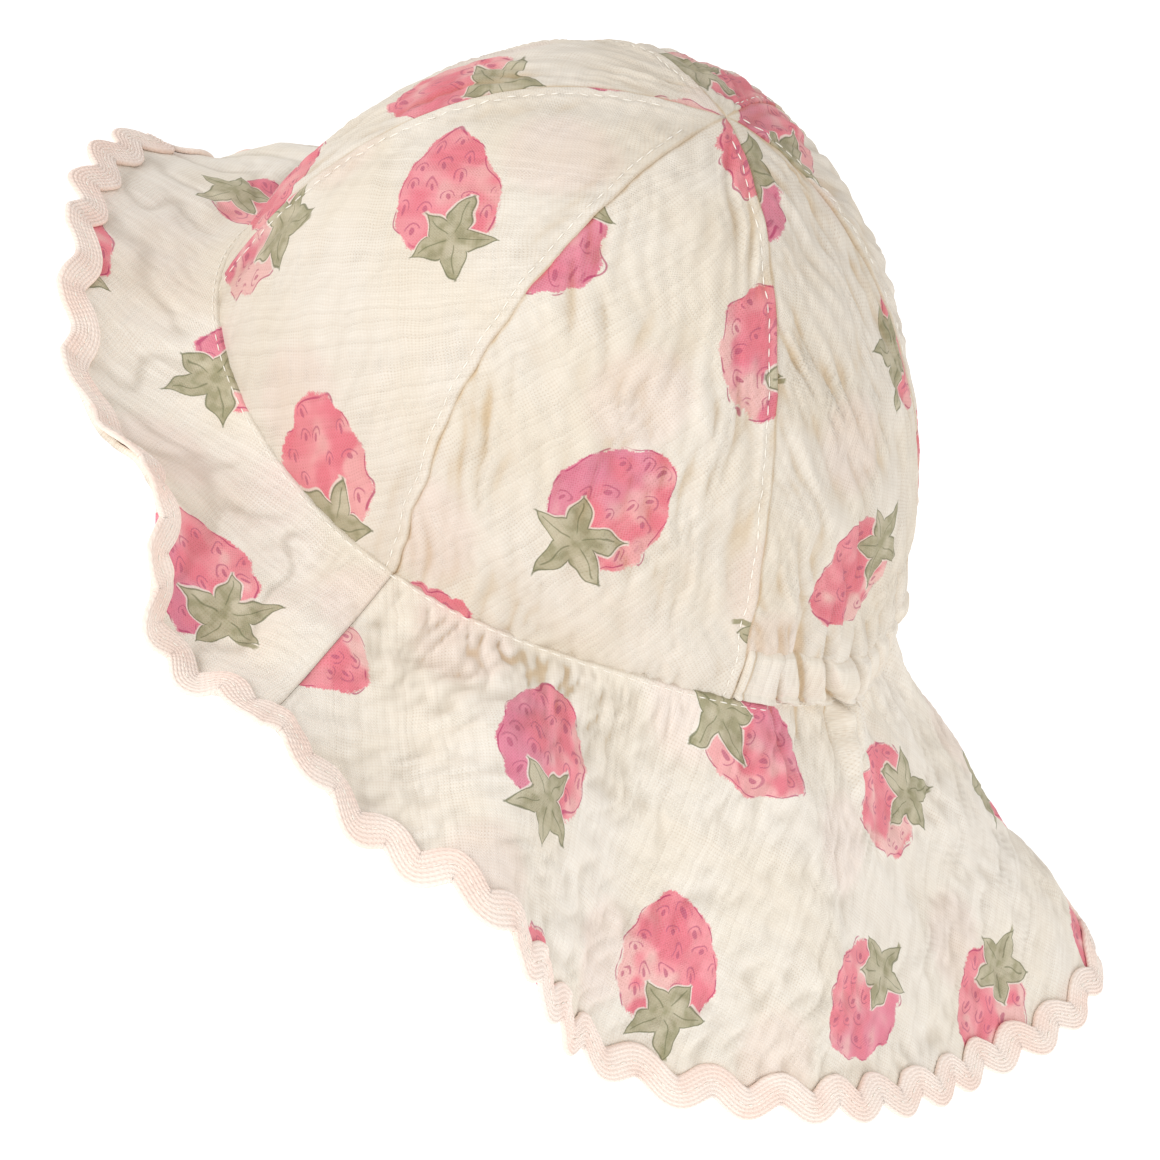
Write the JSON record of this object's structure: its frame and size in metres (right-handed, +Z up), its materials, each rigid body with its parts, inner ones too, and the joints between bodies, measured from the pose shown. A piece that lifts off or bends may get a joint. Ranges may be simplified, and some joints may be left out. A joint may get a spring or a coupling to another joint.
{
  "type": "baby sun hat",
  "caption": "Child's cotton sun hat with a gored crown, a short front brim, a long neck flap, a gathered elastic back and wavy braid on the edge.",
  "frame": {"origin": "middle of the head opening, where the crown meets the brim", "axes": "+Z up through the crown, -Y the way the face looks, +X the wearer's left"},
  "size_m": [0.28, 0.2844, 0.1978],
  "materials": {
    "printed_gauze": "crinkled double gauze cotton, cream with a pink berry and sage leaf print",
    "plain_gauze": "crinkled double gauze cotton, cream, gathered on elastic",
    "rickrack_braid": "ribbed cotton rickrack braid, pale blush"
  },
  "bodies": {
    "root": {"crown_gore_front_left": "printed_gauze", "crown_gore_side_left": "printed_gauze", "crown_gore_back_left": "printed_gauze", "crown_gore_back_right": "printed_gauze", "crown_gore_side_right": "printed_gauze", "crown_gore_front_right": "printed_gauze", "brim_front": "printed_gauze", "neck_flap": "printed_gauze", "elastic_casing": "plain_gauze", "rickrack_trim": "rickrack_braid"}
  },
  "joints": []
}
